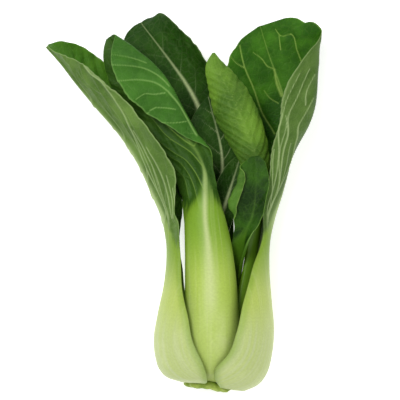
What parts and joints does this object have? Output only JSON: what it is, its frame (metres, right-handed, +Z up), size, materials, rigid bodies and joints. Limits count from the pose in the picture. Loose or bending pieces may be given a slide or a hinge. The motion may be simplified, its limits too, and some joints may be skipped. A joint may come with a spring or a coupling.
{
  "type": "bok choy",
  "caption": "Head of bok choy lying on its back: swollen pale green leaf stalks on a cut root plate, spreading into thin dark green veined leaves.",
  "frame": {"origin": "centre of the small flat spot under the rear stalk, where the head rests", "axes": "+Z up from the surface it lies on, +Y along the head from the cut root to the leaf tips, +X to the right as seen from above"},
  "size_m": [0.1654, 0.2281, 0.062],
  "materials": {
    "cut_root": "moist cut root tissue, yellow-green, matte",
    "left_pale": "smooth waxy leaf stalk, pale green",
    "left_green": "veined leaf blade with a soft sheen",
    "right_pale": "smooth waxy leaf stalk, pale green",
    "right_green": "veined leaf blade with a soft sheen",
    "front_pale": "smooth waxy leaf stalk, pale green",
    "front_green": "veined leaf blade with a soft sheen",
    "back_pale": "smooth waxy leaf stalk, pale green",
    "back_green": "veined leaf blade with a soft sheen",
    "middle_pale": "smooth waxy leaf stalk, pale green",
    "middle_green": "veined leaf blade with a soft sheen",
    "heart_pale": "smooth waxy leaf stalk, pale green",
    "heart_green": "veined leaf blade with a soft sheen",
    "olive_pale": "smooth waxy leaf stalk, pale green",
    "olive_green": "veined leaf blade with a soft sheen",
    "curly_pale": "smooth waxy leaf stalk, pale green",
    "curly_green": "veined leaf blade with a soft sheen"
  },
  "bodies": {
    "root": {"stem_base": "cut_root", "left_stalk": "left_pale", "left_blade": "left_green", "right_stalk": "right_pale", "right_blade": "right_green", "front_stalk": "front_pale", "front_blade": "front_green", "back_stalk": "back_pale", "back_blade": "back_green", "middle_stalk": "middle_pale", "middle_blade": "middle_green", "heart_stalk": "heart_pale", "heart_blade": "heart_green", "olive_stalk": "olive_pale", "olive_blade": "olive_green", "curly_stalk": "curly_pale", "curly_blade": "curly_green"}
  },
  "joints": []
}
